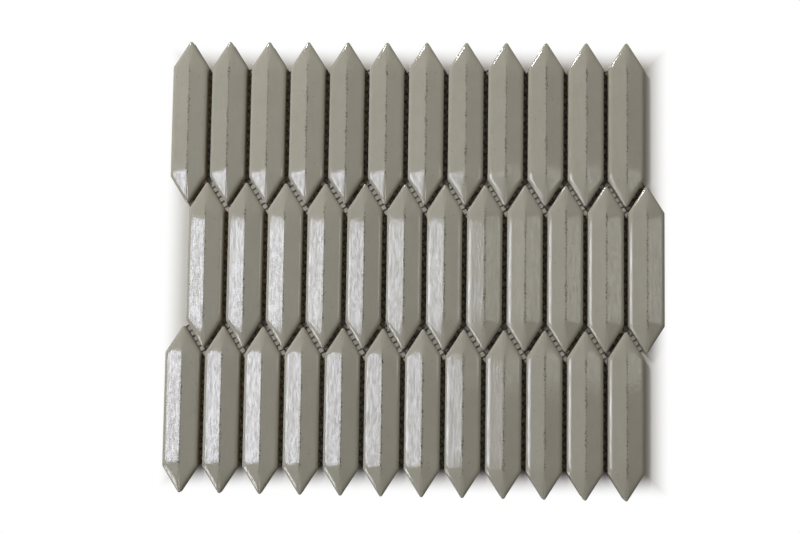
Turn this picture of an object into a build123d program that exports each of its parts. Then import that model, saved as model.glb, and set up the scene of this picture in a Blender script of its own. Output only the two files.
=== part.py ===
from build123d import *
import os
from math import cos, radians, sin, tan

# A mosaic sheet of glazed picket tiles on a backing net, lying face up on its net.
# X runs along the rows, Y along the tiles and Z up, from the middle of the net's underside.

# Driving dimensions of one tile, in millimetres and degrees
picket_width = 22.4  # between the feet of the two long walls
picket_length = 103.0  # over the blunted tips
tip_angle = 65.4  # between the two slanting walls of a pointed end
tip_round = 1.2  # radius that the blunted tips keep to, in plan
tip_facets = 3  # narrow walls that turn each tip
eave_height = 5.8  # from the back up to where wall and slope would meet
ridge_rise = 2.2  # from the eaves up to the ridge
hip_run = 2.0  # from the shoulders back to where the level ridge ends, along the tile
wall_draft = 2.0  # lean of the walls, for the press
arris_round = 1.8  # radius of the edge of the face, under its glaze

# Driving dimensions of the sheet
row_count = 3
column_count = 12
joint = 2.6  # open joint round every tile
net_thickness = 0.5
net_setback = 1.0  # from the outer edges of the tiles in to the edge of the net

# Worked out: the plan of a tile with sharp tips, and how steep its long faces and its end faces are
half_tip_angle = radians(tip_angle / 2)
half_width = picket_width / 2
tip_centre = picket_length / 2 - tip_round
half_length = tip_centre + tip_round / sin(half_tip_angle)
draft_run = tan(radians(wall_draft))
eave_span = half_width - eave_height * draft_run
long_slope = ridge_rise / eave_span
end_slope = ridge_rise / (eave_span * cos(half_tip_angle) + hip_run * sin(half_tip_angle))

# Worked out: the pitches, with the slanting joints as wide as the straight ones
column_pitch = picket_width + joint
row_shift = column_pitch / 2
row_pitch = 2 * half_length + (joint - row_shift * cos(half_tip_angle)) / sin(half_tip_angle)


def gabled_bar(half_span, slope, bearing):
    # A bar with leaning walls, rounded arrises and two slopes, square to the bearing from the X axis
    eave = half_span - eave_height * draft_run
    crown = eave_height + eave * slope
    foot_line = [(-half_span, 0), (half_span, 0)]
    roof_line = [(eave, eave_height), (0, crown), (-eave, eave_height)]
    section = Polygon(*foot_line, *roof_line, align=None)
    eaves = section.vertices().filter_by_position(Axis.Y, eave_height, eave_height)
    rounded = fillet(eaves, arris_round)
    return Rot(0, 0, bearing) * extrude(Plane.XZ * rounded, amount=picket_length, both=True)


def picket_tile():
    # The long walls and slopes come from one bar, and each pair of opposite end walls from another.
    # What all the bars share is the picket, with hips where a long slope meets an end slope.
    tile = gabled_bar(half_width, long_slope, 0)
    turn = (180 - tip_angle) / (tip_facets + 1)
    for step in range(tip_facets + 2):
        bearing = tip_angle / 2 + step * turn
        tile = tile & gabled_bar(tip_centre * sin(radians(bearing)) + tip_round, end_slope, bearing)
    return tile


def picket_outline(margin):
    # The sharp hexagon of a tile, grown by a margin on every edge
    side = half_width + margin
    tip = half_length + margin / sin(half_tip_angle)
    shoulder = tip - side / tan(half_tip_angle)
    right = [(0, -tip), (side, -shoulder), (side, shoulder)]
    left = [(0, tip), (-side, shoulder), (-side, -shoulder)]
    return Polygon(*right, *left, align=None)


def tile_place(row, column):
    # Every other row is shifted by half a pitch, so that its tips fall between the tiles beside it
    side_step = row_shift / 2 if row % 2 else -row_shift / 2
    x = (column - (column_count - 1) / 2) * column_pitch + side_step
    y = ((row_count - 1) / 2 - row) * row_pitch
    return Pos(x, y, 0)


def backing_net(places):
    # Trimmed to the zigzag outline of the tiles, a little inside it, and whole across the joints
    covered = Sketch() + [place * picket_outline(joint / 2) for place in places]
    trimmed = offset(covered, amount=-joint / 2 - net_setback, kind=Kind.ARC)
    return extrude(trimmed, amount=net_thickness)


cells = [(row, column) for row in range(row_count) for column in range(column_count)]
tile = picket_tile()
pieces = {"backing_net": backing_net([tile_place(*cell) for cell in cells])}
for row, column in cells:
    name = f"picket_r{row + 1}_c{column + 1:02d}"
    pieces[name] = tile_place(row, column) * Pos(0, 0, net_thickness) * tile

os.makedirs("parts", exist_ok=True)
for name, piece in pieces.items():
    export_step(piece, f"parts/{name}.step")
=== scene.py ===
import bpy
import math
from mathutils import Matrix, Vector


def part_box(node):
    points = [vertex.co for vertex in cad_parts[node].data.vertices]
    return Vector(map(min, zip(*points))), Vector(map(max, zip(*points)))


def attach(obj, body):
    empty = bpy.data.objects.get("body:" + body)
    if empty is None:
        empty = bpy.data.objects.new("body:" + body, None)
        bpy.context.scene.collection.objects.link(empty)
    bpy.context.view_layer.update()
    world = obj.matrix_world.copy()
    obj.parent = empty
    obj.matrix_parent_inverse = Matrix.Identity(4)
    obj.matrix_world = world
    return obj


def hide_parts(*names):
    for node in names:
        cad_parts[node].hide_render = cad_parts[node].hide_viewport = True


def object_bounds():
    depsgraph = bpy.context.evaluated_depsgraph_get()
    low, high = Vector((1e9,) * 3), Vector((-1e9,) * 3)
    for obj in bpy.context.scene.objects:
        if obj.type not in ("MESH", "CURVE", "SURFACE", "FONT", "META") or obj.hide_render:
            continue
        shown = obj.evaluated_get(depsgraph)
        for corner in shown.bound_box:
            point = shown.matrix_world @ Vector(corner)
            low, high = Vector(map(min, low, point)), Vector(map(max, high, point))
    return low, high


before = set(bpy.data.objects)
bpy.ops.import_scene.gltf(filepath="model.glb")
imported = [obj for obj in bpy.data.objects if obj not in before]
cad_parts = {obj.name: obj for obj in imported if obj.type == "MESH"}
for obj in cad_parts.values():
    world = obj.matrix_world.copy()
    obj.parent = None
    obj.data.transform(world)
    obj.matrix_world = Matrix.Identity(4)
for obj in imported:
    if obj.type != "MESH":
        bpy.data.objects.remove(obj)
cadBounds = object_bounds()
scene = bpy.context.scene
print("frame loaded", len(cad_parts), "nodes")

# Rows and columns of the sheet, and sizes read from the frame, in metres
rowCount = 3
columnCount = 12


def tileName(row, column):
    return f"picket_r{row}_c{column:02d}"


def boxCentre(node):
    low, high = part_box(node)
    return (Vector(low) + Vector(high)) / 2


columnPitch = boxCentre(tileName(1, 2)).x - boxCentre(tileName(1, 1)).x
tileLow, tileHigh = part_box(tileName(1, 1))
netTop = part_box("backing_net")[1][2]


# Helpers for colours, node trees and pieces made by Geometry Nodes

def toLinear(hexColour):
    parts = [int(hexColour[i:i + 2], 16) / 255 for i in (1, 3, 5)]
    return tuple(c / 12.92 if c <= 0.04045 else ((c + 0.055) / 1.055) ** 2.4 for c in parts) + (1.0,)


def addNode(tree, kind, inputs=None, **settings):
    node = tree.nodes.new(kind)
    for key, value in settings.items():
        setattr(node, key, value)
    for key, value in (inputs or {}).items():
        if isinstance(value, bpy.types.NodeSocket):
            tree.links.new(value, node.inputs[key])
        else:
            node.inputs[key].default_value = value
    return node


def newMaterial(name):
    material = bpy.data.materials.new(name)
    material.use_nodes = True
    tree = material.node_tree
    tree.nodes.clear()
    return material, tree


def newShapeTree(name, floats, vectors=(), integers=()):
    tree = bpy.data.node_groups.new(name, "GeometryNodeTree")
    kinds = {"Geometry": "NodeSocketGeometry"}
    kinds.update({key: "NodeSocketFloat" for key in floats})
    kinds.update({key: "NodeSocketVector" for key in vectors})
    kinds.update({key: "NodeSocketInt" for key in integers})
    for key, kind in kinds.items():
        tree.interface.new_socket(key, in_out="INPUT", socket_type=kind)
    tree.interface.new_socket("Geometry", in_out="OUTPUT", socket_type="NodeSocketGeometry")
    given = addNode(tree, "NodeGroupInput").outputs

    def calc(operation, *values):
        return addNode(tree, "ShaderNodeMath", dict(enumerate(values)), operation=operation).outputs[0]

    return tree, given, calc


def grow(name, tree, values, start=None):
    # Runs a tree on a carrier, keeps the result as a plain mesh and drops the carrier
    carrier = bpy.data.objects.new(name + "Carrier", start or bpy.data.meshes.new(name + "Start"))
    scene.collection.objects.link(carrier)
    modifier = carrier.modifiers.new("shape", "NODES")
    modifier.node_group = tree
    for item in tree.interface.items_tree:
        if item.in_out == "INPUT" and item.name in values:
            modifier[item.identifier] = values[item.name]
    ready = carrier.evaluated_get(bpy.context.evaluated_depsgraph_get())
    mesh = bpy.data.meshes.new_from_object(ready)
    mesh.name = name
    carrier.modifiers.clear()
    bpy.data.objects.remove(carrier)
    piece = bpy.data.objects.new(name, mesh)
    scene.collection.objects.link(piece)
    return piece


# Glazed tiles, with lengths in millimetres

glaze = {
    "thickColour": "#928f84",
    "thinColour": "#888578",
    # The wall colour is painted shade for the lower walls down in the joints
    "wallShadeColour": "#7d7355",
    "speckColour": "#38342b",
    "clayDark": "#a4937e",
    "clayPale": "#c4b5a0",
    "wallFoot": 2.4,
    "wallHead": 5.2,
    "clayLine": 1.2,
    "clayWaver": 1.6,
    "claySoft": 0.12,
    "ridgeLength": 36.0,
    "ridgeFade": 4.0,
    "peelDepth": 0.03,
    "glossRough": 0.035,
    "spotRough": 0.14,
}


def makeGlaze(row):
    # Pressed stoneware under a glossy warm grey glaze: it gives flat slopes with soft, slightly
    # broken reflections, small dark pits along the ridge and a dry clay foot below the glaze line.
    material, tree = newMaterial(f"glazedStonewareRow{row}")
    first = boxCentre(tileName(row, 1))
    pitch = columnPitch * 1000
    coords = addNode(tree, "ShaderNodeTexCoord")
    place = addNode(tree, "ShaderNodeMapping", {
        "Vector": coords.outputs["Object"],
        "Location": (-first.x * 1000, -first.y * 1000, -netTop * 1000),
        "Scale": (1000, 1000, 1000)}).outputs["Vector"]
    axes = addNode(tree, "ShaderNodeSeparateXYZ", {"Vector": place}).outputs

    # Which tile of the row this is, and how far from its ridge
    steps = addNode(tree, "ShaderNodeMath", {0: axes["X"], 1: pitch}, operation="DIVIDE")
    number = addNode(tree, "ShaderNodeMath", {0: steps.outputs[0]}, operation="ROUND")
    fold = addNode(tree, "ShaderNodeMath", {0: axes["X"], 1: pitch / 2}, operation="PINGPONG")
    dice = addNode(tree, "ShaderNodeTexWhiteNoise", {"W": number.outputs[0]}, noise_dimensions="1D")

    # Cloudy glaze colour, a little different on every tile
    cloud = addNode(tree, "ShaderNodeTexNoise", {
        "Vector": place, "Scale": 0.09, "Detail": 4.0, "Roughness": 0.6})
    cloudMix = addNode(tree, "ShaderNodeMix", {
        "Factor": cloud.outputs["Fac"], "A": toLinear(glaze["thinColour"]),
        "B": toLinear(glaze["thickColour"])}, data_type="RGBA")
    tint = addNode(tree, "ShaderNodeMapRange", {
        "Value": dice.outputs["Value"], "To Min": 0.95, "To Max": 1.04})
    tinted = addNode(tree, "ShaderNodeHueSaturation", {
        "Color": cloudMix.outputs["Result"], "Value": tint.outputs["Result"]})

    # A thin darker line along the ridge, clustered pits along it where the glaze drew back, and a few strays.
    # Pits are finer than a pixel, so they are drawn about a millimetre wide.
    grain = addNode(tree, "ShaderNodeTexNoise", {"Vector": place, "Scale": 1.0, "Detail": 1.0})
    cluster = addNode(tree, "ShaderNodeTexNoise", {"Vector": place, "Scale": 0.11, "Detail": 1.0})
    ridgeReach = addNode(tree, "ShaderNodeMapRange", {
        "Value": cluster.outputs["Fac"], "From Min": 0.36, "From Max": 0.66,
        "To Min": 0.25, "To Max": 1.5})
    ridgeMask = addNode(tree, "ShaderNodeMapRange", {
        "Value": fold.outputs[0], "From Min": 0.1, "From Max": ridgeReach.outputs["Result"],
        "To Min": 1.0, "To Max": 0.0})
    pitLevel = addNode(tree, "ShaderNodeMapRange", {
        "Value": grain.outputs["Fac"], "From Min": 0.53, "From Max": 0.60})
    ridgePits = addNode(tree, "ShaderNodeMath", {
        0: ridgeMask.outputs["Result"], 1: pitLevel.outputs["Result"]}, operation="MULTIPLY")
    lineDepth = addNode(tree, "ShaderNodeMapRange", {
        "Value": cluster.outputs["Fac"], "From Min": 0.35, "From Max": 0.65, "To Min": 0.08, "To Max": 0.26})
    ridgeLine = addNode(tree, "ShaderNodeMapRange", {
        "Value": fold.outputs[0], "From Min": 0.2, "From Max": 0.8,
        "To Min": lineDepth.outputs["Result"], "To Max": 0.0})
    onRidge = addNode(tree, "ShaderNodeMath", {
        0: ridgePits.outputs[0], 1: ridgeLine.outputs["Result"]}, operation="MAXIMUM")
    along = addNode(tree, "ShaderNodeMath", {0: axes["Y"]}, operation="ABSOLUTE")
    ridgeEnds = addNode(tree, "ShaderNodeMapRange", {
        "Value": along.outputs[0], "From Min": glaze["ridgeLength"] - glaze["ridgeFade"],
        "From Max": glaze["ridgeLength"] + glaze["ridgeFade"], "To Min": 1.0, "To Max": 0.0})
    ridgeDark = addNode(tree, "ShaderNodeMath", {
        0: onRidge.outputs[0], 1: ridgeEnds.outputs["Result"]}, operation="MULTIPLY")
    strays = addNode(tree, "ShaderNodeTexVoronoi", {"Vector": place, "Scale": 0.24})
    strayChance = addNode(tree, "ShaderNodeMapRange", {
        "Value": strays.outputs["Color"], "From Min": 0.5, "From Max": 0.6, "To Max": 0.6})
    strayMask = addNode(tree, "ShaderNodeMapRange", {
        "Value": strays.outputs["Distance"], "From Min": 0.05, "From Max": 0.10,
        "To Min": strayChance.outputs["Result"], "To Max": 0.0})
    pits = addNode(tree, "ShaderNodeMath", {
        0: ridgeDark.outputs[0], 1: strayMask.outputs["Result"]}, operation="MAXIMUM")
    pitted = addNode(tree, "ShaderNodeMix", {
        "Factor": pits.outputs[0], "A": tinted.outputs["Color"], "B": toLinear(glaze["speckColour"])},
        data_type="RGBA")

    # The walls grow browner and darker towards their foot: painted shade in the joints, over glaze that runs
    # thinner there. Below a wavy line the clay shows
    drawn = addNode(tree, "ShaderNodeMapRange", {
        "Value": axes["Z"], "From Min": glaze["wallFoot"], "From Max": glaze["wallHead"]})
    wallShaded = addNode(tree, "ShaderNodeMix", {
        "Factor": drawn.outputs["Result"], "A": toLinear(glaze["wallShadeColour"]),
        "B": pitted.outputs["Result"]}, data_type="RGBA")
    waver = addNode(tree, "ShaderNodeTexNoise", {"Vector": place, "Scale": 0.25, "Detail": 2.0})
    line = addNode(tree, "ShaderNodeMath", {
        0: waver.outputs["Fac"], 1: glaze["clayWaver"], 2: axes["Z"]}, operation="MULTIPLY_ADD")
    glazed = addNode(tree, "ShaderNodeMapRange", {
        "Value": line.outputs[0], "From Min": glaze["clayLine"] - glaze["claySoft"],
        "From Max": glaze["clayLine"] + glaze["claySoft"]})
    clay = addNode(tree, "ShaderNodeTexNoise", {
        "Vector": place, "Scale": 1.4, "Detail": 5.0, "Roughness": 0.65})
    clayColour = addNode(tree, "ShaderNodeMix", {
        "Factor": clay.outputs["Fac"], "A": toLinear(glaze["clayDark"]), "B": toLinear(glaze["clayPale"])},
        data_type="RGBA")
    colour = addNode(tree, "ShaderNodeMix", {
        "Factor": glazed.outputs["Result"], "A": clayColour.outputs["Result"],
        "B": wallShaded.outputs["Result"]}, data_type="RGBA")

    # Orange peel, dull spots and streaks, drawn out along the tile, that break up the reflections
    peelPlace = addNode(tree, "ShaderNodeMapping", {"Vector": place, "Scale": (1.0, 0.3, 1.0)})
    peel = addNode(tree, "ShaderNodeTexNoise", {
        "Vector": peelPlace.outputs["Vector"], "Scale": 0.9, "Detail": 3.0, "Roughness": 0.65})
    streakPlace = addNode(tree, "ShaderNodeMapping", {"Vector": place, "Scale": (1.0, 0.11, 1.0)})
    streaks = addNode(tree, "ShaderNodeTexNoise", {
        "Vector": streakPlace.outputs["Vector"], "Scale": 0.8, "Detail": 3.0, "Roughness": 0.7})
    relief = addNode(tree, "ShaderNodeMath", {
        0: peel.outputs["Fac"], 1: streaks.outputs["Fac"]}, operation="ADD")
    dented = addNode(tree, "ShaderNodeMath", {
        0: relief.outputs[0], 1: strayMask.outputs["Result"]}, operation="SUBTRACT")
    bump = addNode(tree, "ShaderNodeBump", {
        "Height": dented.outputs[0], "Strength": 1.0, "Distance": glaze["peelDepth"] / 1000})
    spots = addNode(tree, "ShaderNodeTexNoise", {
        "Vector": peelPlace.outputs["Vector"], "Scale": 1.3, "Detail": 3.0, "Roughness": 0.7})
    spotRough = addNode(tree, "ShaderNodeMapRange", {
        "Value": spots.outputs["Fac"], "From Min": 0.42, "From Max": 0.66,
        "To Min": glaze["glossRough"], "To Max": glaze["spotRough"]})
    rough = addNode(tree, "ShaderNodeMapRange", {
        "Value": glazed.outputs["Result"], "To Min": 0.85, "To Max": spotRough.outputs["Result"]})
    shine = addNode(tree, "ShaderNodeMapRange", {
        "Value": relief.outputs[0], "From Min": 0.80, "From Max": 1.20, "To Min": 0.22, "To Max": 0.78})

    shader = addNode(tree, "ShaderNodeBsdfPrincipled", {
        "Base Color": colour.outputs["Result"], "Roughness": rough.outputs["Result"], "IOR": 1.5,
        "Specular IOR Level": shine.outputs["Result"], "Normal": bump.outputs["Normal"]})
    addNode(tree, "ShaderNodeOutputMaterial", {"Surface": shader.outputs["BSDF"]})
    return material


# The picket: the CAD tile with what pressing and glazing do to it, so that the hips and the ends of
# the ridge melt away, the slopes sag a little between ridge and arris, and the arris swells.
picket = {
    "Width": tileHigh[0] - tileLow[0],
    "Length": tileHigh[1] - tileLow[1],
    "Tip angle": math.radians(65.4),
    "Tip round": 0.0012,
    "Eave height": 0.0058,
    "Ridge rise": 0.0022,
    "Hip run": 0.0020,
    "Draft": 0.0002,
    "Arris width": 0.0026,
    "Arris drop": 0.0010,
    "Arris swell": 0.12,
    "Swell scale": 180.0,
    "End bow": 0.70,
    "Hip ease": 0.00070,
    "Ridge ease": 0.00035,
    "Tip ease": 0.0016,
    "Shoulder ease": 0.0010,
    "Nose ease": 0.0004,
    "Sag": 0.00004,
    "Ripple": 0.00005,
    "Ripple scale": 70.0,
    "Lean across": 0.0090,
    "Lean along": 0.0040,
    "Stations": 88,
    "Rings": 30,
    "Seed": 11,
}
wallRings = 3
noseStations = 4
endStations = 8


def makePicketTree():
    floats = [key for key, value in picket.items() if isinstance(value, float)]
    tree, given, calc = newShapeTree("pressedPicket", floats, ["Place"], ["Stations", "Rings", "Seed"])
    tree.interface.new_socket("Material", in_out="INPUT", socket_type="NodeSocketMaterial")

    # A sheet wrapped round the tile from its foot to its ridge, and a disc for the back
    columns = calc("ADD", given["Stations"], 1)
    rows = calc("ADD", given["Rings"], 1)
    sheet = addNode(tree, "GeometryNodeMeshGrid", {
        "Size X": 1.0, "Size Y": 1.0, "Vertices X": columns, "Vertices Y": rows})
    outward = addNode(tree, "GeometryNodeFlipFaces", {"Mesh": sheet.outputs["Mesh"]})
    spot = addNode(tree, "GeometryNodeInputPosition").outputs["Position"]
    spotAxes = addNode(tree, "ShaderNodeSeparateXYZ", {"Vector": spot}).outputs
    wrapped = addNode(tree, "GeometryNodeStoreNamedAttribute", {
        "Geometry": outward.outputs["Mesh"], "Name": "round", "Value": calc("ADD", spotAxes["X"], 0.5)})
    raised = addNode(tree, "GeometryNodeStoreNamedAttribute", {
        "Geometry": wrapped.outputs["Geometry"], "Name": "rise", "Value": calc("ADD", spotAxes["Y"], 0.5)})
    disc = addNode(tree, "GeometryNodeMeshCircle", {"Vertices": given["Stations"]}, fill_type="NGON")
    index = addNode(tree, "GeometryNodeInputIndex").outputs["Index"]
    back = addNode(tree, "GeometryNodeStoreNamedAttribute", {
        "Geometry": disc.outputs["Mesh"], "Name": "round", "Value": calc("DIVIDE", index, given["Stations"])})
    joined = addNode(tree, "GeometryNodeJoinGeometry")
    tree.links.new(back.outputs["Geometry"], joined.inputs["Geometry"])
    tree.links.new(raised.outputs["Geometry"], joined.inputs["Geometry"])
    turn = addNode(tree, "GeometryNodeInputNamedAttribute", {"Name": "round"}).outputs["Attribute"]
    rise = addNode(tree, "GeometryNodeInputNamedAttribute", {"Name": "rise"}).outputs["Attribute"]

    # One quarter of the outline, from the tip round its nose and along the end wall to the long wall
    quarter = calc("MULTIPLY", calc("PINGPONG", turn, 0.25), given["Stations"])
    shoulderStation = noseStations + endStations
    lastStation = calc("DIVIDE", given["Stations"], 4.0)
    nose = addNode(tree, "ShaderNodeMapRange", {"Value": quarter, "From Max": noseStations}).outputs["Result"]
    end = addNode(tree, "ShaderNodeMapRange", {
        "Value": quarter, "From Min": noseStations, "From Max": shoulderStation},
        interpolation_type="SMOOTHSTEP").outputs["Result"]
    flank = addNode(tree, "ShaderNodeMapRange", {
        "Value": quarter, "From Min": shoulderStation, "From Max": lastStation},
        interpolation_type="SMOOTHSTEP").outputs["Result"]
    halfWidth = calc("MULTIPLY", given["Width"], 0.5)
    halfTip = calc("MULTIPLY", given["Tip angle"], 0.5)
    sinTip, cosTip = calc("SINE", halfTip), calc("COSINE", halfTip)
    noseCentre = calc("MULTIPLY_ADD", given["Length"], 0.5, calc("MULTIPLY", given["Tip round"], -1.0))
    tip = calc("ADD", noseCentre, calc("DIVIDE", given["Tip round"], sinTip))
    shoulder = calc("SUBTRACT", tip, calc("DIVIDE", calc("MULTIPLY", halfWidth, cosTip), sinTip))
    bend = calc("MULTIPLY", nose, calc("SUBTRACT", math.pi / 2, halfTip))
    noseX = calc("MULTIPLY", given["Tip round"], calc("SINE", bend))
    noseY = calc("MULTIPLY_ADD", given["Tip round"], calc("COSINE", bend), noseCentre)
    endX = calc("SUBTRACT", halfWidth, calc("MULTIPLY", given["Tip round"], cosTip))
    endY = calc("SUBTRACT", shoulder, calc("MULTIPLY_ADD", given["Tip round"], sinTip, noseCentre))
    edgeX = calc("MULTIPLY_ADD", end, endX, noseX)
    edgeY = calc("SUBTRACT", calc("MULTIPLY_ADD", end, endY, noseY), calc("MULTIPLY", flank, shoulder))

    # The line on the ridge that each outline point climbs to
    eaveSpan = calc("SUBTRACT", halfWidth, given["Draft"])
    eaveTip = calc("SUBTRACT", tip, calc("DIVIDE", given["Draft"], sinTip))
    eaveShoulder = calc("SUBTRACT", eaveTip, calc("DIVIDE", calc("MULTIPLY", eaveSpan, cosTip), sinTip))
    ridgeEnd = calc("SUBTRACT", eaveShoulder, given["Hip run"])
    ridgeY = calc("SUBTRACT", calc("MULTIPLY_ADD", end, calc("SUBTRACT", ridgeEnd, noseCentre), noseCentre),
                  calc("MULTIPLY", flank, ridgeEnd))
    wallTop = calc("DIVIDE", float(wallRings), given["Rings"])
    wall = addNode(tree, "ShaderNodeMapRange", {"Value": rise, "From Max": wallTop}).outputs["Result"]
    climb = addNode(tree, "ShaderNodeMapRange", {"Value": rise, "From Min": wallTop},
                    interpolation_type="SMOOTHSTEP").outputs["Result"]
    lean = calc("DIVIDE", given["Draft"], halfWidth)
    inset = calc("MULTIPLY_ADD", climb, calc("SUBTRACT", 1.0, lean), calc("MULTIPLY", wall, lean))
    planX = calc("MULTIPLY", edgeX, calc("SUBTRACT", 1.0, inset))
    planY = calc("MULTIPLY_ADD", calc("SUBTRACT", ridgeY, edgeY), inset, edgeY)
    sideX = calc("SIGN", calc("SUBTRACT", 0.5, turn))
    sideY = calc("SIGN", calc("COSINE", calc("MULTIPLY", turn, 2 * math.pi)))
    flatX, flatY = calc("MULTIPLY", planX, sideX), calc("MULTIPLY", planY, sideY)
    flatPlan = addNode(tree, "ShaderNodeCombineXYZ", {"X": flatX, "Y": flatY}).outputs["Vector"]
    laidPlan = addNode(tree, "ShaderNodeVectorMath", {0: flatPlan, 1: given["Place"]},
                       operation="ADD").outputs["Vector"]
    ripple = addNode(tree, "ShaderNodeTexNoise", {
        "Vector": laidPlan, "W": given["Seed"], "Scale": given["Ripple scale"], "Detail": 1.0},
        noise_dimensions="4D").outputs["Fac"]
    swell = addNode(tree, "ShaderNodeTexNoise", {
        "Vector": laidPlan, "W": given["Seed"], "Scale": given["Swell scale"], "Detail": 1.0},
        noise_dimensions="4D").outputs["Fac"]

    # Heights: two slopes that melt into each other at the hip, with a soft ridge
    soften = addNode(tree, "ShaderNodeMapRange", {
        "Value": planY, "From Min": calc("MULTIPLY", ridgeEnd, 0.85), "From Max": noseCentre,
        "To Min": given["Ridge ease"], "To Max": given["Tip ease"]}).outputs["Result"]
    ridgeGap = calc("SQRT", calc("MULTIPLY_ADD", planX, planX, calc("MULTIPLY", soften, soften)))
    longSlope = calc("DIVIDE", given["Ridge rise"], eaveSpan)
    endSlope = calc("DIVIDE", given["Ridge rise"], calc(
        "MULTIPLY_ADD", eaveSpan, cosTip, calc("MULTIPLY", given["Hip run"], sinTip)))
    longRise = calc("MULTIPLY", longSlope, calc("SUBTRACT", eaveSpan, ridgeGap))
    endGap = calc("MULTIPLY", calc("SUBTRACT", eaveTip, planY), sinTip)
    endRise = calc("MULTIPLY", endSlope, calc("SUBTRACT", endGap, calc("MULTIPLY", ridgeGap, cosTip)))
    slope = calc("SMOOTH_MIN", longRise, endRise, given["Hip ease"])

    # How far in from the edge of the face: from the long wall, the end wall and the turned tip
    fromLong = calc("SUBTRACT", eaveSpan, planX)
    part = calc("DIVIDE", planX, eaveSpan)
    fromMiddle = calc("MULTIPLY_ADD", part, 2.0, -1.0)
    bowShare = calc("POWER", calc("ABSOLUTE", fromMiddle), 4.0)
    bow = calc("SUBTRACT", 1.0, calc("MULTIPLY", given["End bow"], bowShare))
    fromEnd = calc("MULTIPLY", bow, calc("SUBTRACT", endGap, calc("MULTIPLY", planX, cosTip)))
    noseReach = calc("SUBTRACT", calc("MULTIPLY", given["Length"], 0.5), given["Draft"])
    fromTip = calc("SUBTRACT", noseReach, planY)
    halfTurn = calc("MULTIPLY", calc("SUBTRACT", math.pi / 2, halfTip), 0.5)
    cornerReach = calc("MULTIPLY_ADD", noseCentre, calc("COSINE", halfTurn),
                       calc("SUBTRACT", given["Tip round"], given["Draft"]))
    cornerAcross = calc("MULTIPLY", planX, calc("SINE", halfTurn))
    cornerAlong = calc("MULTIPLY", planY, calc("COSINE", halfTurn))
    fromCorner = calc("SUBTRACT", calc("SUBTRACT", cornerReach, cornerAcross), cornerAlong)
    fromEdge = calc("MINIMUM", calc("SMOOTH_MIN", fromLong, fromEnd, given["Shoulder ease"]),
                    calc("SMOOTH_MIN", fromCorner, fromTip, given["Nose ease"]))
    swellShare = calc("MULTIPLY_ADD", calc("SUBTRACT", swell, 0.5), given["Arris swell"], 1.0)
    arrisWidth = calc("MULTIPLY", given["Arris width"], swellShare)
    bent = addNode(tree, "ShaderNodeMapRange", {
        "Value": fromEdge, "From Min": 0.0, "From Max": arrisWidth,
        "To Min": 1.0, "To Max": 0.0}).outputs["Result"]
    curl = calc("SQRT", calc("SUBTRACT", 1.0, calc("MULTIPLY", bent, bent)))
    fall = calc("MULTIPLY", given["Arris drop"], calc("SUBTRACT", 1.0, curl))
    sagShare = calc("MULTIPLY", part, calc("SUBTRACT", 1.0, part))
    sag = calc("MULTIPLY", calc("MULTIPLY", given["Sag"], 4.0), sagShare)
    wave = calc("MULTIPLY", given["Ripple"], calc("SUBTRACT", ripple, 0.5))
    roof = calc("SUBTRACT", calc("ADD", given["Eave height"], slope), fall)
    crown = calc("ADD", roof, calc("SUBTRACT", wave, sag))

    # No two faces are quite level, and the higher end of a ridge stays at its height
    chance = addNode(tree, "ShaderNodeTexWhiteNoise", {"Vector": given["Place"], "W": given["Seed"]},
                     noise_dimensions="4D")
    draw = addNode(tree, "ShaderNodeSeparateXYZ", {"Vector": chance.outputs["Color"]}).outputs
    leanAcross = calc("MULTIPLY", given["Lean across"], calc("MULTIPLY_ADD", draw["X"], 2.0, -1.0))
    leanAlong = calc("MULTIPLY", given["Lean along"], calc("MULTIPLY_ADD", draw["Y"], 2.0, -1.0))
    settle = calc("MULTIPLY", calc("ABSOLUTE", leanAlong), ridgeEnd)
    leaning = calc("MULTIPLY_ADD", leanAcross, flatX, calc("MULTIPLY", leanAlong, flatY))
    face = calc("ADD", crown, calc("SUBTRACT", leaning, settle))
    height = addNode(tree, "ShaderNodeCombineXYZ", {"Z": calc("MULTIPLY", face, wall)}).outputs["Vector"]
    place = addNode(tree, "ShaderNodeVectorMath", {0: laidPlan, 1: height}, operation="ADD").outputs["Vector"]

    shaped = addNode(tree, "GeometryNodeSetPosition", {
        "Geometry": joined.outputs["Geometry"], "Position": place})
    welded = addNode(tree, "GeometryNodeMergeByDistance", {
        "Geometry": shaped.outputs["Geometry"], "Distance": 0.000002})
    smooth = addNode(tree, "GeometryNodeSetShadeSmooth", {"Geometry": welded.outputs["Geometry"]})
    atFoot = calc("LESS_THAN", rise, 0.001)
    creased = addNode(tree, "GeometryNodeSetShadeSmooth", {
        "Geometry": smooth.outputs["Geometry"], "Selection": atFoot, "Shade Smooth": False}, domain="EDGE")
    cleared = addNode(tree, "GeometryNodeRemoveAttribute", {
        "Geometry": creased.outputs["Geometry"], "Name": "round"})
    clean = addNode(tree, "GeometryNodeRemoveAttribute", {
        "Geometry": cleared.outputs["Geometry"], "Name": "rise"})
    real = addNode(tree, "GeometryNodeRealizeInstances", {"Geometry": clean.outputs["Geometry"]})
    dressed = addNode(tree, "GeometryNodeSetMaterial", {
        "Geometry": real.outputs["Geometry"], "Material": given["Material"]})
    addNode(tree, "NodeGroupOutput", {"Geometry": dressed.outputs["Geometry"]})
    return tree


picketTree = makePicketTree()
for row in range(1, rowCount + 1):
    rowGlaze = makeGlaze(row)
    for column in range(1, columnCount + 1):
        node = tileName(row, column)
        centre = boxCentre(node)
        values = dict(picket, Place=(centre.x, centre.y, netTop), Material=rowGlaze)
        piece = grow(f"glazedPicket_r{row}_c{column:02d}", picketTree, values)
        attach(piece, "root")
        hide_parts(node)
print("tiles made", len(piece.data.polygons), "faces each")
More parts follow.
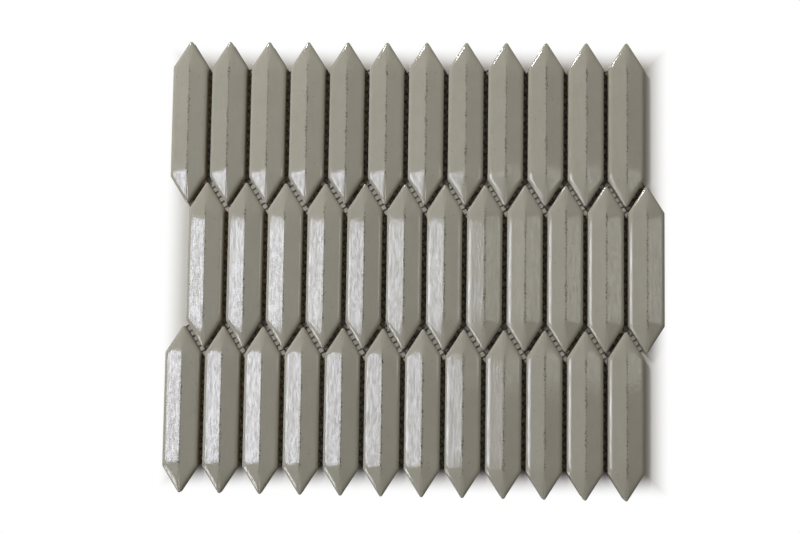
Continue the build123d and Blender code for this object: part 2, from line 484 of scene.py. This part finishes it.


# Backing net: two crossing sets of strands, over and under, trimmed to the outline of the CAD net

# Set A crosses the joints that fall to the right like rungs. Set B runs along them under the tiles: its
# starts move it half a gap aside, so that these joints lie between two of its strands, whose dark yarn stands
# in as painted shadow lines along the feet of the walls.
net = {
    "Gap A": 0.00370,
    "Gap B": 0.003506,
    "Bearing A": math.radians(32.7),
    "Bearing B": math.radians(122.7),
    "East start": 0.001475,
    "North start": 0.000947,
    "Width": 0.00062,
    "Thickness": 0.00030,
    "Weave": 0.00010,
    "Level": netTop / 2,
    "Wobble": 0.00010,
    "Overhang": 0.0010,
    "Reach": 62,
    "Seed": 7,
}
# The yarn colours are darkened as painted shade in the joints
yarn = {"dark": "#453f35", "pale": "#776e5f"}


def makeYarn():
    # Coated glass-fibre yarn, streaked, in a dull dark grey-brown that is partly painted shade, so that the
    # strands read against the floor and as shadow lines along the joints.
    # Its fibres are too fine to show, so the streaks are drawn about half a millimetre wide.
    material, tree = newMaterial("coatedYarnPaintedShade")
    coords = addNode(tree, "ShaderNodeTexCoord")
    place = addNode(tree, "ShaderNodeMapping", {
        "Vector": coords.outputs["Object"], "Scale": (1000, 1000, 1000)})
    fibre = addNode(tree, "ShaderNodeTexNoise", {
        "Vector": place.outputs["Vector"], "Scale": 2.2, "Detail": 4.0, "Roughness": 0.7})
    colour = addNode(tree, "ShaderNodeMix", {
        "Factor": fibre.outputs["Fac"], "A": toLinear(yarn["dark"]), "B": toLinear(yarn["pale"])},
        data_type="RGBA")
    bump = addNode(tree, "ShaderNodeBump", {
        "Height": fibre.outputs["Fac"], "Strength": 0.5, "Distance": 0.0001})
    shader = addNode(tree, "ShaderNodeBsdfPrincipled", {
        "Base Color": colour.outputs["Result"], "Roughness": 0.7, "Normal": bump.outputs["Normal"]})
    addNode(tree, "ShaderNodeOutputMaterial", {"Surface": shader.outputs["BSDF"]})
    return material


def makeNetTree(name, crossAxis, sign, material):
    floats = [key for key, value in net.items() if isinstance(value, float)]
    tree, given, calc = newShapeTree(name, floats, [], ["Reach", "Seed"])

    # Crossings stand on a slanted lattice whose steps follow from the gaps and the two bearings
    skew = calc("SINE", calc("SUBTRACT", given["Bearing B"], given["Bearing A"]))
    spot = addNode(tree, "GeometryNodeInputPosition").outputs["Position"]
    lattice = addNode(tree, "ShaderNodeSeparateXYZ", {"Vector": spot}).outputs
    count = calc("MULTIPLY_ADD", given["Reach"], 2.0, 1.0)
    span = calc("MULTIPLY", given["Reach"], 2.0)
    grid = addNode(tree, "GeometryNodeMeshGrid", {
        "Size X": span, "Size Y": span, "Vertices X": count, "Vertices Y": count})
    parity = calc("FLOORED_MODULO", calc("ROUND", calc("ADD", lattice["X"], lattice["Y"])), 2.0)
    side = calc("MULTIPLY_ADD", parity, 2.0, -1.0)
    alongA = calc("MULTIPLY", lattice["X"], calc("DIVIDE", given["Gap B"], skew))
    alongB = calc("MULTIPLY", lattice["Y"], calc("DIVIDE", given["Gap A"], skew))
    east = calc("MULTIPLY_ADD", alongA, calc("COSINE", given["Bearing A"]), calc(
        "MULTIPLY_ADD", alongB, calc("COSINE", given["Bearing B"]), given["East start"]))
    north = calc("MULTIPLY_ADD", alongA, calc("SINE", given["Bearing A"]), calc(
        "MULTIPLY_ADD", alongB, calc("SINE", given["Bearing B"]), given["North start"]))
    sway = addNode(tree, "ShaderNodeTexNoise", {"Vector": spot, "W": given["Seed"], "Scale": 0.35},
                   noise_dimensions="4D")
    swayMiddle = addNode(tree, "ShaderNodeVectorMath", {0: sway.outputs["Color"], 1: (0.5, 0.5, 0.5)},
                         operation="SUBTRACT")
    swayStep = addNode(tree, "ShaderNodeCombineXYZ", {"X": given["Wobble"], "Y": given["Wobble"]})
    swayed = addNode(tree, "ShaderNodeVectorMath", {
        0: swayMiddle.outputs["Vector"], 1: swayStep.outputs["Vector"]}, operation="MULTIPLY")
    edge = addNode(tree, "GeometryNodeInputMeshEdgeVertices")
    run = addNode(tree, "ShaderNodeVectorMath", {
        0: edge.outputs["Position 2"], 1: edge.outputs["Position 1"]}, operation="SUBTRACT")
    runAxes = addNode(tree, "ShaderNodeSeparateXYZ", {"Vector": run.outputs["Vector"]}).outputs
    section = addNode(tree, "ShaderNodeCombineXYZ", {"X": given["Width"], "Y": given["Thickness"], "Z": 1.0})
    ring = addNode(tree, "GeometryNodeCurvePrimitiveCircle", {"Resolution": 6, "Radius": 0.5})
    profile = addNode(tree, "GeometryNodeTransform", {
        "Geometry": ring.outputs["Curve"], "Scale": section.outputs["Vector"]})

    # The edges of the other set go, each crossing passes over or under, and a crossing stays where it
    # is in the CAD net or a little past its edge
    crossing = calc("GREATER_THAN", calc("ABSOLUTE", runAxes[crossAxis]), 0.5)
    kept = addNode(tree, "GeometryNodeDeleteGeometry", {
        "Geometry": grid.outputs["Mesh"], "Selection": crossing}, domain="EDGE", mode="EDGE_FACE")
    lift = calc("MULTIPLY_ADD", side, calc("MULTIPLY", given["Weave"], sign), given["Level"])
    knot = addNode(tree, "ShaderNodeCombineXYZ", {"X": east, "Y": north, "Z": lift})
    laid = addNode(tree, "GeometryNodeSetPosition", {
        "Geometry": kept.outputs["Geometry"], "Position": knot.outputs["Vector"],
        "Offset": swayed.outputs["Vector"]})
    nearest = addNode(tree, "GeometryNodeProximity", {"Geometry": given["Geometry"], "Sample Position": spot})
    outside = calc("GREATER_THAN", nearest.outputs["Distance"], given["Overhang"])
    trimmed = addNode(tree, "GeometryNodeDeleteGeometry", {
        "Geometry": laid.outputs["Geometry"], "Selection": outside}, domain="POINT")
    strands = addNode(tree, "GeometryNodeMeshToCurve", {"Mesh": trimmed.outputs["Geometry"]})
    level = addNode(tree, "GeometryNodeSetCurveNormal", {"Curve": strands.outputs["Curve"]}, mode="Z_UP")
    tubes = addNode(tree, "GeometryNodeCurveToMesh", {
        "Curve": level.outputs["Curve"], "Profile Curve": profile.outputs["Geometry"], "Fill Caps": True})
    smooth = addNode(tree, "GeometryNodeSetShadeSmooth", {"Geometry": tubes.outputs["Mesh"]})
    real = addNode(tree, "GeometryNodeRealizeInstances", {"Geometry": smooth.outputs["Geometry"]})
    dressed = addNode(tree, "GeometryNodeSetMaterial", {
        "Geometry": real.outputs["Geometry"], "Material": material})
    addNode(tree, "NodeGroupOutput", {"Geometry": dressed.outputs["Geometry"]})
    return tree


netYarn = makeYarn()
for name, crossAxis, sign in (("netWarp", "Y", 1.0), ("netWeft", "X", -1.0)):
    strandTree = makeNetTree(name, crossAxis, sign, netYarn)
    piece = grow(name, strandTree, net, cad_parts["backing_net"].data.copy())
    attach(piece, "root")
    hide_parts("backing_net")
    print("net strands made", name, len(piece.data.polygons), "faces")


# Floor, light and camera

stage = {
    "floorColour": "#b4b1aa",
    "floorHalf": 3.0,
    "floorDrop": 0.0001,
    "ambient": 0.07,
    "clearFrom": -0.0125,
    "clearTo": 0.0040,
    "tipMargin": 0.0050,
}

# Matt painted board: an even, dull grey that takes the shadow
floorMaterial, floorTree = newMaterial("paintedBoard")
floorCoords = addNode(floorTree, "ShaderNodeTexCoord")
floorPlace = addNode(floorTree, "ShaderNodeMapping", {
    "Vector": floorCoords.outputs["Object"], "Scale": (1000, 1000, 1000)})
floorGrain = addNode(floorTree, "ShaderNodeTexNoise", {"Vector": floorPlace.outputs["Vector"], "Scale": 0.4})
floorRough = addNode(floorTree, "ShaderNodeMapRange", {
    "Value": floorGrain.outputs["Fac"], "To Min": 0.8, "To Max": 0.95})
floorShader = addNode(floorTree, "ShaderNodeBsdfPrincipled", {
    "Base Color": toLinear(stage["floorColour"]), "Roughness": floorRough.outputs["Result"],
    "Specular IOR Level": 0.1})

# The camera sees the board go to plain white past the sheet and the shadow beside it
floorAxes = addNode(floorTree, "ShaderNodeSeparateXYZ", {"Vector": floorCoords.outputs["Object"]}).outputs
pastEnds = []
for axis, limit in (("X", cadBounds[1][0]), ("Y", cadBounds[1][1] - stage["tipMargin"])):
    far = addNode(floorTree, "ShaderNodeMath", {0: floorAxes[axis]}, operation="ABSOLUTE")
    pastEnds.append(addNode(floorTree, "ShaderNodeMath", {0: far.outputs[0], 1: limit}, operation="SUBTRACT"))
past = addNode(floorTree, "ShaderNodeMath", {0: pastEnds[0].outputs[0], 1: pastEnds[1].outputs[0]},
               operation="MAXIMUM")
floorSeen = addNode(floorTree, "ShaderNodeLightPath")
clear = addNode(floorTree, "ShaderNodeMapRange", {
    "Value": past.outputs[0], "From Min": stage["clearFrom"], "From Max": stage["clearTo"],
    "To Max": floorSeen.outputs["Is Camera Ray"]}, interpolation_type="SMOOTHSTEP")
white = addNode(floorTree, "ShaderNodeEmission", {"Color": toLinear("#ffffff"), "Strength": 1.0})
floorMix = addNode(floorTree, "ShaderNodeMixShader", {
    0: clear.outputs["Result"], 1: floorShader.outputs["BSDF"], 2: white.outputs["Emission"]})
addNode(floorTree, "ShaderNodeOutputMaterial", {"Surface": floorMix.outputs["Shader"]})

half = stage["floorHalf"]
floorMesh = bpy.data.meshes.new("floor")
floorMesh.from_pydata(
    [(-half, -half, -stage["floorDrop"]), (half, -half, -stage["floorDrop"]),
     (half, half, -stage["floorDrop"]), (-half, half, -stage["floorDrop"])], [], [(0, 1, 2, 3)])
floorMesh.materials.append(floorMaterial)
floor = bpy.data.objects.new("floor", floorMesh)
scene.collection.objects.link(floor)

# Each panel: middle, what it faces (None: straight down), size, radiance where white is 1.
# A card shows in the gloss and lights nothing else, and a fill lights and doesn't show in the gloss.
panels = {
    "windowPanel": {"middle": (-1.775, -0.135, 2.0), "aim": None, "size": (1.15, 0.89), "radiance": 10.0,
                    "colour": "#ecefff"},
    "windowEdge": {"middle": (-0.95, -0.135, 2.0), "aim": None, "size": (0.50, 0.89), "radiance": 7.3,
                   "colour": "#ecefff", "card": True},
    "keyPanel": {"middle": (-0.68, 0.99, 0.90), "aim": (0, 0, 0), "size": (0.16, 0.16), "radiance": 220.0,
                 "colour": "#ffffff", "fill": True},
    "glintCard": {"middle": (-1.68, 2.20, 1.21), "aim": (0, 0.13, 0), "size": (0.34, 0.46), "radiance": 70.0,
                  "colour": "#ffffff", "card": True},
    "lowCard": {"middle": (-1.47, -1.03, 1.03), "aim": (0, 0, 0), "size": (0.5, 1.0), "radiance": 8.0,
                "colour": "#ffffff", "card": True},
    "leftPanel": {"middle": (-2.6, 0.1, 1.0), "aim": (0, 0.1, 0.3), "size": (3.0, 1.6), "radiance": 2.7,
                  "colour": "#ffffff", "fill": True},
    "rightPanel": {"middle": (1.85, 0.3, 2.15), "aim": (0, 0, 0), "size": (0.8, 0.8), "radiance": 6.0,
                   "colour": "#fff0d8", "fill": True},
    "sidePanel": {"middle": (1.49, 0.11, 2.0), "aim": None, "size": (1.02, 0.61), "radiance": 2.0,
                  "colour": "#fafaf4"},
}
for name, panel in panels.items():
    light = bpy.data.lights.new(name, "AREA")
    light.shape = "RECTANGLE"
    light.size, light.size_y = panel["size"]
    light.energy = panel["radiance"] * math.pi * panel["size"][0] * panel["size"][1]
    light.color = toLinear(panel["colour"])[:3]
    lamp = bpy.data.objects.new(name, light)
    lamp.location = panel["middle"]
    lamp.visible_diffuse = not panel.get("card", False)
    lamp.visible_glossy = not panel.get("fill", False)
    if panel["aim"]:
        beam = Vector(panel["aim"]) - Vector(panel["middle"])
        lamp.rotation_euler = beam.to_track_quat("-Z", "Y").to_euler()
    scene.collection.objects.link(lamp)

world = bpy.data.worlds.new("studio")
world.use_nodes = True
worldTree = world.node_tree
worldTree.nodes.clear()
path = addNode(worldTree, "ShaderNodeLightPath")
level = addNode(worldTree, "ShaderNodeMapRange", {
    "Value": path.outputs["Is Camera Ray"], "To Min": stage["ambient"], "To Max": 1.0})
sky = addNode(worldTree, "ShaderNodeBackground", {
    "Color": toLinear("#ffffff"), "Strength": level.outputs["Result"]})
addNode(worldTree, "ShaderNodeOutputWorld", {"Surface": sky.outputs["Background"]})
scene.world = world

# The camera as fitted to the tips and edges of the tiles in the photo
view = {
    "place": (0.0139, -0.0400, 0.6270),
    "right": (0.9993, 0.0144, -0.0356),
    "up": (-0.0120, 0.9978, 0.0646),
    "forward": (-0.0364, 0.0641, -0.9973),
    "lens": 45.0,
}
cameraData = bpy.data.cameras.new("camera")
cameraData.sensor_fit = "HORIZONTAL"
cameraData.sensor_width = 36.0
cameraData.lens = view["lens"]
cameraData.clip_start = 0.01
camera = bpy.data.objects.new("camera", cameraData)
camera.matrix_world = Matrix((
    (view["right"][0], view["up"][0], -view["forward"][0], view["place"][0]),
    (view["right"][1], view["up"][1], -view["forward"][1], view["place"][1]),
    (view["right"][2], view["up"][2], -view["forward"][2], view["place"][2]),
    (0, 0, 0, 1)))
scene.collection.objects.link(camera)
scene.camera = camera
scene.view_settings.view_transform = "Standard"
print("stage set")
